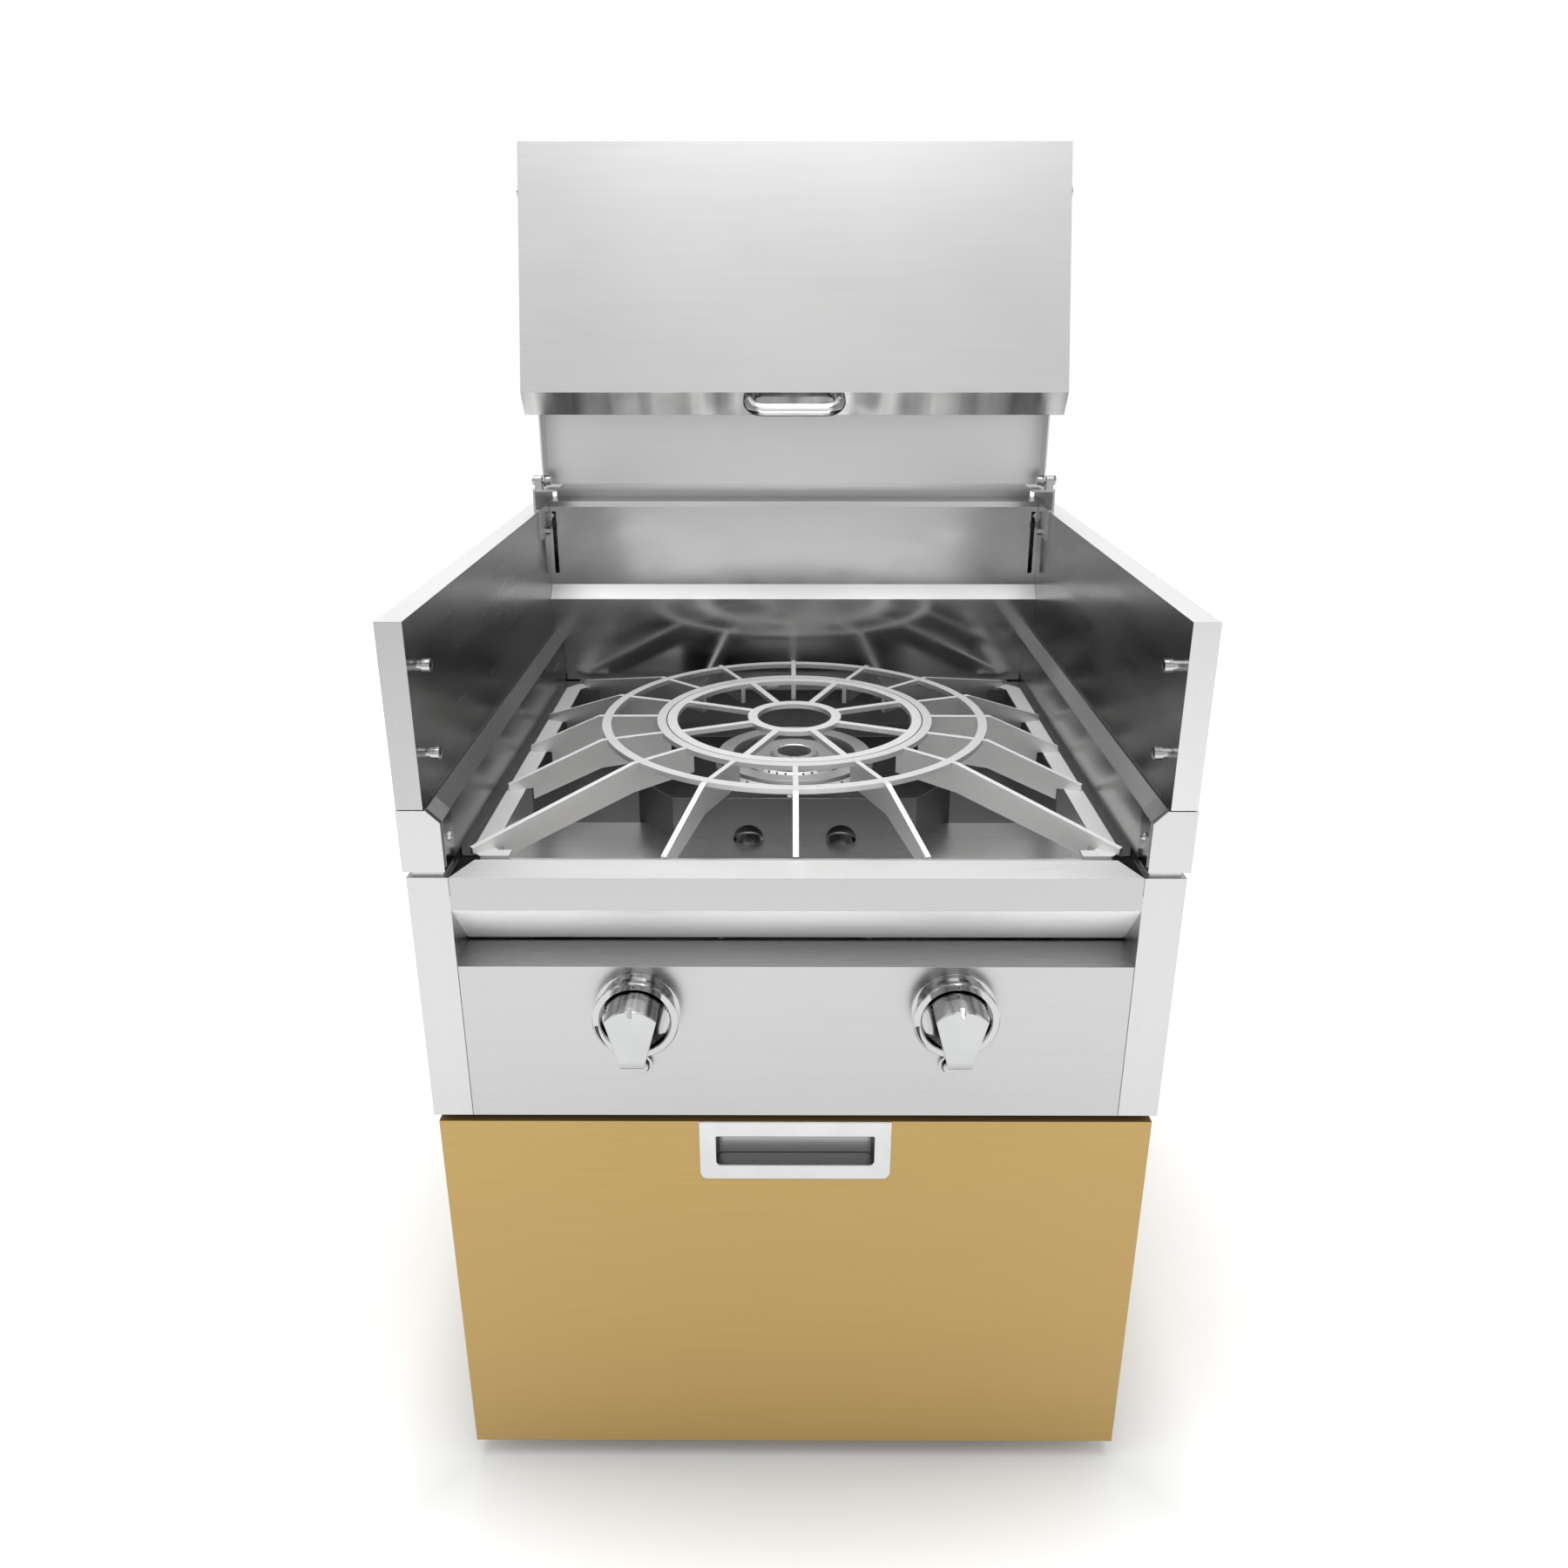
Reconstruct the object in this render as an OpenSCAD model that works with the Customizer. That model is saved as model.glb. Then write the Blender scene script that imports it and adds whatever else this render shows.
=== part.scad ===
/* [Cabinet] */
// Width across the front posts
cabinet_w = 762; // [740:2:800]
// Depth from the front face to the back panel
cabinet_d = 762; // [740:2:820]
// Height of the levelling feet
foot_h = 25; // [20:1:40]
// Height of the lower cabinet
lower_h = 464; // [440:2:500]
// Height of the front posts above the deck plate
post_h = 278; // [270:1:290]
// Width of a front post
post_w = 41; // [38:1:46]
// Sheet thickness of panels
sheet = 2; // [1.5:0.5:2.5]

/* [Rails and guards] */
// Height of a side rail
rail_h = 65; // [60:1:75]
// Width of a side rail
rail_w = 42; // [40:1:46]
// Size of the bevel along the inner top edge of a side rail
rail_bevel = 13; // [8:1:16]
// Height of a wind guard
guard_h = 185; // [160:5:220]
// Thickness of a wind guard
guard_t = 26; // [20:1:30]
// Height of the undercut below the front rail
undercut_h = 63; // [50:1:70]

/* [Lid] */
// Width over the front half of the lid
lid_w = 700; // [680:1:700]
// Depth of the lid's side walls
lid_t = 36; // [32:1:40]
// Distance from the rear hinge to the fold axis
lid_rear_l = 365; // [350:1:365]
// Distance from the fold axis to the front bend
lid_front_l = 259; // [240:1:265]
// Length of the front half that laps over the rear half
lid_lap = 53; // [40:1:60]
// Angle at which the folded front half hangs, from the vertical
hang_angle = 16.1; // [14:0.1:18]

/* [Grate] */
// Outer radius of the outer ring
ring_r = 237; // [225:1:240]
// Outer radius of the inner ring
inner_ring_r = 170; // [160:1:175]
// Radial width of a grate ring
ring_w = 11; // [10:1:14]
// Plate thickness of rings and ribs
rib_t = 6; // [5:0.5:7]
// Number of spokes in the lift-out centre
spoke_n = 8; // [6:1:10]

/* [Burner] */
// Outer radius of the outer port ring
burner_r = 99; // [94:1:102]
// Radius of the burner cap
cap_r = 55; // [50:1:58]
// Number of ports in the outer ring
port_n = 40; // [24:1:48]

/* [Controls] */
// Distance of a knob from the centre line
knob_x = 161; // [140:1:200]
// Diameter of a knob
knob_d = 68; // [60:1:72]
// Diameter of a knob bezel
bezel_d = 87; // [80:1:92]

/* [Drawer] */
// Gap between the drawer front and the deck plate
drawer_gap = 6; // [4:1:12]
// Width of the flush pull
pull_w = 204; // [160:1:240]
// Height of the flush pull
pull_h = 74; // [60:1:90]

// Inner radius of the ring that holds the gas cylinder's foot
cylinder_r = 103; // [95:1:120]

/* [Hidden] */
$fn = 48;

// Running gap between pieces that move apart
gap = 0.3;
// Half widths of the cabinet, guards and rails
half_w = cabinet_w / 2;
lower_half = half_w - 4;
guard_out = half_w + 2;
guard_in = guard_out - guard_t;
rail_out = half_w + 3;
rail_in = rail_out - rail_w;
post_in = half_w - post_w;
// Levels above the underside of the lower cabinet
deck_z = lower_h + sheet;
post_top = deck_z + post_h;
rail_z = post_top + 6;
rail_top = rail_z + rail_h;
guard_z = rail_top + 1;
guard_top = guard_z + guard_h;
// Depths from the front face
back_y = cabinet_d;
wall_y = back_y - 102;
grate_y = wall_y / 2 + 22;
pan_front = post_w + 6;
pan_back = wall_y;
pan_z = 670;
ledge_z = post_top - 4.4;
// Lid axes: height and depth of the rear hinge and of the fold
hinge_y = wall_y - 44;
hinge_z = guard_top + 43;
fold_y = hinge_y + 3;
fold_z = hinge_z + lid_rear_l;
// Depth and height of the two bolts through each hinge bracket
bracket_bolt_at = [[hinge_y + 35, guard_top - 33], [hinge_y + 66, guard_top - 16]];
// Distance of the lid skin outward from the fold axis
skin_h = 26;
rear_half_w = lid_w / 2 - 3;
// Grate levels
grate_top = post_top + 46;
plate_top = post_top - 1.4;
insert_r = inner_ring_r - ring_w - 1.5;
// Controls
knob_z = deck_z + 129;
button_z = knob_z - 64;
button_x = knob_x - 1;
// Drawer slide section, from the inner face of the cabinet side
slide_x = lower_half - sheet;
slide_z = 60;
slide_h = 46;
slide_l = back_y - 162;
tray_half = slide_x - 14;
tray_floor = 32;
tray_top = 120;
tray_back = back_y - 82;
// Height of the drawer front, and of the liner behind it
drawer_h = lower_h - drawer_gap;
liner_h = drawer_h - pull_h - 4;
cylinder_y = back_y / 2 - 51;
// Half width of the burner pan between its ledges
pan_half = rail_in - 20;
// Place of the levelling feet
foot_x = lower_half - 42;
foot_y = [62, back_y - 62];
// Burner tub: half widths and half depths of the octagon
tub_x = [144, 191];
tub_y = [52, 107];
// Venturi spacing, radius and front end
venturi_x = 55;
venturi_r = 18;
venturi_front = 104;
// Gas inlet position
inlet_x = 250;
inlet_y = 60;

// Sheet folded along a path of points, with the thickness on its left
function unit(v) = v / norm(v);
function left_of(v) = [-v.y, v.x];
function mitre(p, i, t) =
    i == 0 ? p[0] + t * left_of(unit(p[1] - p[0]))
    : i == len(p) - 1 ? p[i] + t * left_of(unit(p[i] - p[i - 1]))
    : let (a = unit(p[i] - p[i - 1]), b = unit(p[i + 1] - p[i]), n = unit(left_of(a) + left_of(b)))
        p[i] + n * t / (n * left_of(a));
function folded(p, t) = concat(p, [for (i = [len(p) - 1 : -1 : 0]) mitre(p, i, t)]);

// Puts depth 0 at the front face and height 0 at the underside of the cabinet
module in_frame() translate([0, -cabinet_d / 2, foot_h]) children();
// Draws a shape and its mirror image across the centre plane
module pair() {
    children();
    mirror([1, 0, 0]) children();
}
module side(s) { if (s > 0) children(); else mirror([1, 0, 0]) children(); }
// Extrudes a depth and height outline across the width
module across(x0, x1) translate([x0, 0, 0]) rotate([90, 0, 90]) linear_extrude(x1 - x0) children();
// Extrudes a width and height outline along the depth
module along(y0, y1) translate([0, y1, 0]) rotate([90, 0, 0]) linear_extrude(y1 - y0) children();
module box(x0, x1, y0, y1, z0, z1) translate([x0, y0, z0]) cube([x1 - x0, y1 - y0, z1 - z0]);
// Rods along the three axes
module rod_x(x0, x1, y, z, r) translate([x0, y, z]) rotate([0, 90, 0]) cylinder(r = r, h = x1 - x0);
module rod_y(y0, y1, x, z, r) translate([x, y0, z]) rotate([-90, 0, 0]) cylinder(r = r, h = y1 - y0);
module rod_z(z0, z1, x, y, r) translate([x, y, z0]) cylinder(r = r, h = z1 - z0);
// Round rod between two points
module strut(p, q, r) {
    d = q - p;
    translate(p) rotate([0, acos(d.z / norm(d)), atan2(d.y, d.x)]) cylinder(r = r, h = norm(d));
}
// Hexagon prism along the width
module hex_x(x0, x1, y, z, r)
    translate([x0, y, z]) rotate([0, 90, 0]) cylinder(r = r, h = x1 - x0, $fn = 6);

// Lower cabinet
module levelling_feet() color("dimgray") in_frame()
    for (y = foot_y)
        pair() translate([foot_x, y, 0]) {
            translate([0, 0, -foot_h]) cylinder(r = 22, h = 5);
            translate([0, 0, 5 - foot_h]) cylinder(r1 = 22, r2 = 9, h = 5);
            translate([0, 0, -foot_h]) cylinder(r = 5, h = foot_h + 14);
            translate([0, 0, -6]) cylinder(r = 9, h = 6, $fn = 6);
            translate([0, 0, sheet]) cylinder(r = 9, h = 6, $fn = 6);
        }

module cabinet_base() color("darkgoldenrod") in_frame() difference() {
    box(-slide_x, slide_x, 26, back_y - sheet, 0, 30);
    box(sheet - slide_x, slide_x - sheet, 26 + sheet, back_y - 2 * sheet, sheet, 31);
    for (y = foot_y) pair() rod_z(-1, sheet + 1, foot_x, y, 5.05);
}

module lower_side(s) color("goldenrod") in_frame() side(s) {
    box(slide_x, lower_half, 24, back_y - sheet, 0, lower_h);
    box(slide_x - 10, slide_x, 24, 26, 0, slide_z - 4);
    box(slide_x - 10, slide_x, 24, 26, slide_z + slide_h + 4, lower_h);
    box(slide_x - 30, slide_x, 26, back_y - sheet, lower_h - sheet, lower_h);
}
module cabinet_left_side() lower_side(-1);
module cabinet_right_side() lower_side(1);

module cabinet_back() color("goldenrod") in_frame() difference() {
    box(-lower_half, lower_half, back_y - sheet, back_y, 0, lower_h);
    for (z = [40 : 24 : 112], x = [-200, 0, 200]) box(x - 70, x + 70, back_y - 5, back_y + 1, z, z + 8);
}

module deck_plate() color("silver") in_frame() difference() {
    box(-half_w + sheet, half_w - sheet, 6, back_y, lower_h, deck_z);
    rod_z(lower_h - 1, deck_z + 1, inlet_x, inlet_y, 20);
}

// Burner box
module front_post(s) color("lightgray") in_frame() side(s) {
    difference() {
        box(post_in, half_w, 0, post_w, deck_z, post_top);
        box(post_in + sheet, half_w - sheet, sheet, post_w - sheet, deck_z - 1, post_top - sheet);
    }
    box(post_in + 5, half_w - 5, 4, post_w - 4, post_top, rail_z);
}
module left_front_post() front_post(-1);
module right_front_post() front_post(1);

undercut_z = post_top - 36;
shelf_z = undercut_z - undercut_h;
module front_rail() color("lightgray") in_frame() difference() {
    across(-post_in, post_in) polygon(folded([
        [post_w + 4, shelf_z + 8], [0, undercut_z], [0, post_top], [40, post_top], [40, post_top - 12]], -sheet));
    pair() translate([post_in, 0, post_top - 20]) linear_extrude(30)
        polygon([[0, -1], [1, -1], [1, 45], [-18, 45]]);
}

module control_panel() color("lightgray") in_frame() difference() {
    across(-post_in, post_in) polygon(folded([
        [24, deck_z], [0, deck_z], [0, shelf_z], [post_w + 4, shelf_z + 5.6]], -sheet));
    for (x = [-knob_x, knob_x]) rod_y(-1, 5, x, knob_z, 6);
    for (x = [-button_x, button_x]) rod_y(-1, 5, x, button_z, 8.6);
}

module upper_side(s) color("lightgray") in_frame() side(s) {
    box(half_w - sheet, half_w, post_w, back_y - sheet, deck_z, rail_z);
    box(half_w - 30, half_w - sheet, post_w, back_y - sheet, deck_z, deck_z + sheet);
}
module upper_left_side() upper_side(-1);
module upper_right_side() upper_side(1);

module upper_back() color("lightgray") in_frame() difference() {
    box(-half_w, half_w, back_y - sheet, back_y, deck_z, rail_z);
    for (z = [deck_z + 60 : 24 : deck_z + 132], x = [-200, 0, 200])
        box(x - 70, x + 70, back_y - 5, back_y + 1, z, z + 8);
}

function rail_outline(d) = [
    [rail_in + d, rail_z + d], [rail_out - d, rail_z + d], [rail_out - d, rail_top - d],
    [rail_in + rail_bevel + d * 0.41, rail_top - d], [rail_in + d, rail_top - rail_bevel - d * 0.41]];
module side_rail(s) color("lightgray") in_frame() side(s) {
    along(0, sheet) polygon(rail_outline(0));
    difference() {
        along(sheet, back_y) polygon(rail_outline(0));
        along(sheet, back_y - sheet) polygon(rail_outline(sheet));
    }
}
module left_side_rail() side_rail(-1);
module right_side_rail() side_rail(1);

// Polished corner cap near the front of each side rail
module rail_end_caps() color("silver") in_frame() pair() difference() {
    along(4, 34) polygon(folded([
        [rail_in + rail_bevel + 1.5, rail_top], [rail_in + rail_bevel, rail_top],
        [rail_in, rail_top - rail_bevel], [rail_in, rail_z + 4]], -1.2));
    rod_x(rail_in - 5, rail_in + 1, 20, rail_top - 35, 2.6);
    difference() {
        box(rail_in - 5, rail_in + 1, 24, 35, rail_z, rail_z + 14);
        rod_x(rail_in - 6, rail_in + 2, 24, rail_z + 14, 10);
    }
}

module rail_cap_screws() color("silver") in_frame() pair() {
    rod_x(rail_in - 1.2, rail_in, 20, rail_top - 35, 2.5);
    difference() {
        translate([rail_in - 1.2, 20, rail_top - 35]) rotate([0, -90, 0]) cylinder(r1 = 5, r2 = 3.4, h = 3);
        hex_x(rail_in - 5, rail_in - 2.6, 20, rail_top - 35, 2);
    }
}

peg_z = [rail_top + 53, rail_top + 140];
peg_y = 18;
module wind_guard(s) color("lightgray") in_frame() side(s) {
    difference() {
        box(guard_in, guard_out, 0, back_y, guard_z, guard_top);
        box(guard_in + sheet, guard_out - sheet, sheet, back_y - sheet, guard_z - 1, guard_top - sheet);
        for (z = peg_z) rod_x(guard_in - 1, guard_in + 3, peg_y, z, 4.05);
        for (b = bracket_bolt_at) rod_x(guard_in - 1, guard_in + 3, b.x, b.y, 3.05);
    }
    box(guard_in + 5, guard_out - 5, 20, back_y - 20, rail_top, guard_z + sheet);
    for (y = [30, back_y - 32]) box(guard_in + 1, guard_out - 1, y, y + sheet, guard_z, guard_z + 20);
}
module left_wind_guard() wind_guard(-1);
module right_wind_guard() wind_guard(1);

// Pegs near the front of each guard on which the closed lid rests
module rest_peg_screws() color("silver") in_frame() for (z = peg_z) pair() {
    rod_x(guard_in - 9, guard_in + 12, peg_y, z, 4);
    difference() {
        rod_x(guard_in - 17, guard_in - 9, peg_y, z, 6.4);
        hex_x(guard_in - 18, guard_in - 13, peg_y, z, 3.4);
    }
}
module rest_peg_sleeves() color("silver") in_frame() for (z = peg_z) pair() difference() {
    rod_x(guard_in - 9, guard_in, peg_y, z, 5.2);
    rod_x(guard_in - 10, guard_in + 1, peg_y, z, 4.1);
}
module rest_peg_nuts() color("silver") in_frame() for (z = peg_z) pair() difference() {
    hex_x(guard_in + sheet, guard_in + sheet + 6, peg_y, z, 7.2);
    rod_x(guard_in + 1, guard_in + 10, peg_y, z, 4.1);
}

// Rear wall with its stepped band and two corner slots
band_z = guard_top - 136;
module rear_wall() color("lightgray") in_frame() difference() {
    across(-guard_in, guard_in) polygon(folded([
        [wall_y, pan_z + 20], [wall_y, band_z], [wall_y + 15, band_z + 19], [wall_y + 15, guard_top - 3],
        [wall_y + 19, guard_top + 4], [wall_y + 73, guard_top + 4]], -sheet));
    pair() box(guard_in - 12, guard_in - 6, wall_y + 10, wall_y + 20, guard_top - 100, guard_top - 10);
    pair() along(wall_y - 1, wall_y + 80) polygon([
        [rail_in, pan_z], [guard_in + 4, pan_z], [guard_in + 4, rail_top],
        [rail_in + rail_bevel, rail_top], [rail_in, rail_top - rail_bevel]]);
    pair() box(guard_in - 3.3, guard_in + 1, wall_y - 1, wall_y + 80, guard_top - 41, guard_top + 5);
}
module rear_duct_panel() color("lightgray") in_frame() {
    across(-guard_in + 4, guard_in - 4) polygon(folded([
        [wall_y + 73, guard_top + 2], [wall_y + 73, guard_top + 24], [back_y, guard_top + 24],
        [back_y, guard_top - 10]], -sheet));
    box(-rail_in, rail_in, back_y - sheet, back_y, rail_z, rail_top + 10);
    box(-guard_in, guard_in, back_y - sheet, back_y, rail_top, guard_top);
}

// Hinge brackets on the guards
flange_z = hinge_z - 12;
bracket_y = [hinge_y - 8, hinge_y + 117];
module hinge_brackets() color("silver") in_frame() pair() difference() {
    union() {
        box(guard_in - 3, guard_in, bracket_y[0] + 2, bracket_y[0] + 84, guard_top - 40, guard_top + 3);
        box(guard_in - 3, guard_in + 5, bracket_y[0], bracket_y[1], guard_top, guard_top + 3);
        box(guard_in + 2, guard_in + 5, bracket_y[0], bracket_y[1], guard_top, flange_z);
        box(guard_in - 27, guard_in + 5, bracket_y[0], bracket_y[1], flange_z - 3, flange_z);
        box(guard_in - 8, guard_in + 2, hinge_y - 7, hinge_y + 7, flange_z - 1, hinge_z);
        rod_x(guard_in - 8, guard_in + 2, hinge_y, hinge_z, 7);
    }
    rod_x(guard_in - 20, guard_in + 20, hinge_y, hinge_z, 4.05);
    for (b = bracket_bolt_at) rod_x(guard_in - 5, guard_in + 1, b.x, b.y, 3.05);
}

module bracket_bolts() color("silver") in_frame() pair() for (b = bracket_bolt_at) {
    rod_x(guard_in - 9, guard_in + 8, b.x, b.y, 3);
    hex_x(guard_in - 8, guard_in - 3, b.x, b.y, 5.8);
    hex_x(guard_in + sheet, guard_in + 6, b.x, b.y, 5.8);
}
module hinge_bolts() color("silver") in_frame() pair() {
    rod_x(rear_half_w - 10, guard_in + 5, hinge_y, hinge_z, 4);
    rod_x(guard_in + 2, guard_in + 5.5, hinge_y, hinge_z, 6.6);
    rod_x(rear_half_w - 10, rear_half_w - sheet - gap, hinge_y, hinge_z, 6.6);
}

// Lid, drawn open. The rear half stands upright with its skin behind.
skin_y = fold_y + skin_h;
module rear_wall_outline() polygon([
    [skin_y - lid_t, hinge_z], [skin_y - lid_t, fold_z], [fold_y - 6, fold_z + 6], [fold_y + 6, fold_z + 8],
    [fold_y + 16, fold_z + 4], [skin_y - 4, fold_z - 5], [skin_y - 4, fold_z - lid_lap - 2],
    [skin_y, fold_z - lid_lap - 2], [skin_y, hinge_z - 9], [hinge_y, hinge_z - 9]]);
module rear_lid_half() color("lightgray") in_frame() difference() {
    union() {
        box(-rear_half_w, rear_half_w, skin_y - sheet, skin_y, hinge_z - 9, fold_z - lid_lap - 2);
        pair() across(rear_half_w - sheet, rear_half_w) rear_wall_outline();
        box(-rear_half_w, rear_half_w, skin_y - 16, skin_y, fold_z - lid_lap - 4, fold_z - lid_lap - 2);
    }
    pair() rod_x(rear_half_w - 10, rear_half_w + 10, hinge_y, hinge_z, 4.05);
    pair() rod_x(rear_half_w - 10, rear_half_w + 10, fold_y, fold_z, 4.05);
}

// The front half is drawn flat, forward of the fold axis, then hung at its angle
lip_s = 23;
lip_h = 25.6;
module hung() translate([0, fold_y, fold_z]) rotate([90 - hang_angle, 0, 0]) children();
module front_wall_outline() polygon([
    [lid_lap, skin_h], [-lid_front_l, skin_h], [-lid_front_l - lip_s, skin_h - lip_h],
    [-lid_front_l - lip_s + 3, -6], [-lid_front_l - 8, skin_h - lid_t], [10, skin_h - lid_t],
    [lid_lap, skin_h - 16]]);
module front_lid_half() color("lightgray") in_frame() hung() difference() {
    union() {
        across(-lid_w / 2, lid_w / 2) polygon(folded([
            [lid_lap, skin_h], [-lid_front_l, skin_h],
            [-lid_front_l - lip_s, skin_h - lip_h]], sheet));
        pair() across(lid_w / 2 - sheet, lid_w / 2) front_wall_outline();
    }
    pair() rod_x(lid_w / 2 - 10, lid_w / 2 + 10, 0, 0, 4.05);
}
module fold_bolts() color("silver") in_frame() translate([0, fold_y, fold_z]) pair() {
    rod_x(rear_half_w - 10, lid_w / 2 + 6, 0, 0, 4);
    rod_x(lid_w / 2 + gap, lid_w / 2 + 6, 0, 0, 6.4);
    rod_x(rear_half_w - 10, rear_half_w - sheet, 0, 0, 6.4);
}

// Bridge handle that stands off the bevelled front edge of the lid
handle_off = 22;
handle_half = 53.5;
handle_rise = 5;
module on_lip() hung() translate([0, -lid_front_l - lip_s / 2, skin_h - lip_h / 2])
    rotate([-atan2(lip_s, lip_h), 0, 0]) children();
module lid_handle_bar() color("silver") in_frame() on_lip()
    rod_x(-handle_half + 11, handle_half - 11, -handle_off, handle_rise, 8);
module lid_handle_mounts() color("silver") in_frame() on_lip() pair()
    rod_y(-handle_off - 10, 0, handle_half, handle_rise, 11);

// Burner pan with a ledge all round for the grate
module burner_pan() color("silver") in_frame() difference() {
    union() {
        difference() {
            box(-pan_half, pan_half, pan_front, pan_back, pan_z, ledge_z);
            box(sheet - pan_half, pan_half - sheet, pan_front + sheet, pan_back - sheet,
                pan_z + sheet, ledge_z + 1);
        }
        pair() box(pan_half - sheet, rail_in + sheet, 60, pan_back - 6, ledge_z - sheet, ledge_z);
        pair() box(rail_in, rail_in + sheet, 60, pan_back - 6, ledge_z - sheet, rail_z);
        pair() box(rail_in, half_w - sheet, 60, pan_back - 6, rail_z - sheet, rail_z);
        box(-pan_half, pan_half, pan_front, pan_front + 6, ledge_z - sheet, ledge_z);
        box(-pan_half, pan_half, pan_back - 44, pan_back, ledge_z - sheet, ledge_z);
    }
    rod_z(pan_z - 1, pan_z + 3, 0, grate_y, 75);
    pair() rod_z(pan_z - 1, pan_z + 3, venturi_x, grate_y - tub_y[1], venturi_r);
}

// Octagonal tub round the burner, with a plate over its front wall
tub_top = pan_z + 54;
function octagon(d) = [for (s = [[-1, -1], [1, -1], [1, 1], [-1, 1]])
    each s.x * s.y > 0
        ? [[s.x * (tub_x[1] - d), s.y * (tub_y[0] - d * 0.41)],
            [s.x * (tub_x[0] - d * 0.41), s.y * (tub_y[1] - d)]]
        : [[s.x * (tub_x[0] - d * 0.41), s.y * (tub_y[1] - d)],
            [s.x * (tub_x[1] - d), s.y * (tub_y[0] - d * 0.41)]]];
module burner_tub() color("dimgray") in_frame() difference() {
    union() {
        translate([0, grate_y, pan_z + sheet]) linear_extrude(tub_top - pan_z - sheet) difference() {
            polygon(octagon(0));
            polygon(octagon(1.5));
        }
        box(-106, 106, grate_y - tub_y[1] - 1.5, grate_y - tub_y[1], pan_z + sheet, tub_top);
    }
    pair() rod_y(grate_y - tub_y[1] - 5, grate_y - tub_y[1] + 7, venturi_x, pan_z + sheet, venturi_r);
    for (x = [-92, -44, 4, 52])
        box(x, x + 40, grate_y + tub_y[1] - 7, grate_y + tub_y[1] + 3, tub_top - 26, tub_top - 12);
}

// Grate
rib_angles = [0, 24, 48.2, 69, 90, 110, 131.9, 154.5];
side_reach = rail_in - 11;
front_reach = grate_y - pan_front - 2.5;
rear_reach = wall_y - grate_y - 32;
function rib_end(a) = min(side_reach / max(abs(sin(a)), 0.01),
    (cos(a) > 0 ? front_reach : rear_reach) / max(abs(cos(a)), 0.01));
module rib(a) {
    e = rib_end(a);
    on_plate = abs(sin(a)) * e > side_reach - 26;
    seat = on_plate ? plate_top : ledge_z + gap;
    inset = on_plate ? 26 / abs(sin(a)) : (cos(a) > 0 ? 8 : 15) / abs(cos(a));
    end_z = on_plate ? grate_top - 40 : post_top - 1;
    translate([0, grate_y, 0]) rotate(a - 90) translate([0, rib_t / 2, 0]) rotate([90, 0, 0])
        linear_extrude(rib_t) polygon([
            [inner_ring_r - ring_w + 1, grate_top - rib_t], [inner_ring_r + 0.1, grate_top - rib_t],
            [inner_ring_r + 0.1, grate_top], [ring_r - ring_w - 0.1, grate_top],
            [ring_r - ring_w - 0.1, grate_top - rib_t], [ring_r + 0.1, grate_top - rib_t],
            [ring_r + 0.1, grate_top], [ring_r + 6, grate_top], [e, end_z], [e, seat],
            [e - inset, seat], [e - inset, seat - 14], [ring_r + 8, grate_top - 34],
            [inner_ring_r - ring_w + 1, grate_top - 32]]);
}
module grate_ribs() color("silver") in_frame() {
    for (a = rib_angles) rib(a);
    for (a = rib_angles) if (a > 0) rib(-a);
    rib(180);
}
plate_out = rail_in - 9;
plate_front = 52 - grate_y;
plate_rear = rear_reach + 4;
function plate_outline() = [
    [plate_out - 11, plate_front], [plate_out, plate_front + 11], [plate_out, plate_rear - 18],
    [plate_out - 15, plate_rear], [plate_out - 49, plate_rear], [plate_out - 49, plate_rear - 16],
    [plate_out - 29, plate_rear - 16], [plate_out - 21, plate_rear - 26],
    [plate_out - 21, plate_front + 22], [plate_out - 27, plate_front + 14],
    [plate_out - 41, plate_front + 14], [plate_out - 41, plate_front]];
module grate_side_plates() color("silver") in_frame() pair()
    translate([0, grate_y, ledge_z + gap]) linear_extrude(plate_top - ledge_z - gap) polygon(plate_outline());

module ring(r, w) rotate_extrude($fn = 96) translate([r - w, 0]) square([w, rib_t]);
module grate_rings() color("silver") in_frame() translate([0, grate_y, grate_top - rib_t]) {
    ring(ring_r, ring_w);
    ring(inner_ring_r, ring_w);
    for (a = [0 : 90 : 270]) rotate(a + 11.25)
        box(insert_r - 10, inner_ring_r - 2, -8, 8, -3 - gap, -gap);
    for (a = [0 : 90 : 270]) rotate(a + 11.25)
        box(inner_ring_r - 8, inner_ring_r - 2, -8, 8, -3 - gap, 1);
}
// Lift-out centre with a hub ring and plain spokes
module grate_insert() color("silver") in_frame() translate([0, grate_y, grate_top - rib_t]) {
    ring(insert_r, ring_w + 1);
    ring(58, 12);
    for (i = [0 : spoke_n - 1]) rotate(i * 360 / spoke_n + 180 / spoke_n)
        box(56, insert_r - 6, -4, 4, 0, rib_t);
}

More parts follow.
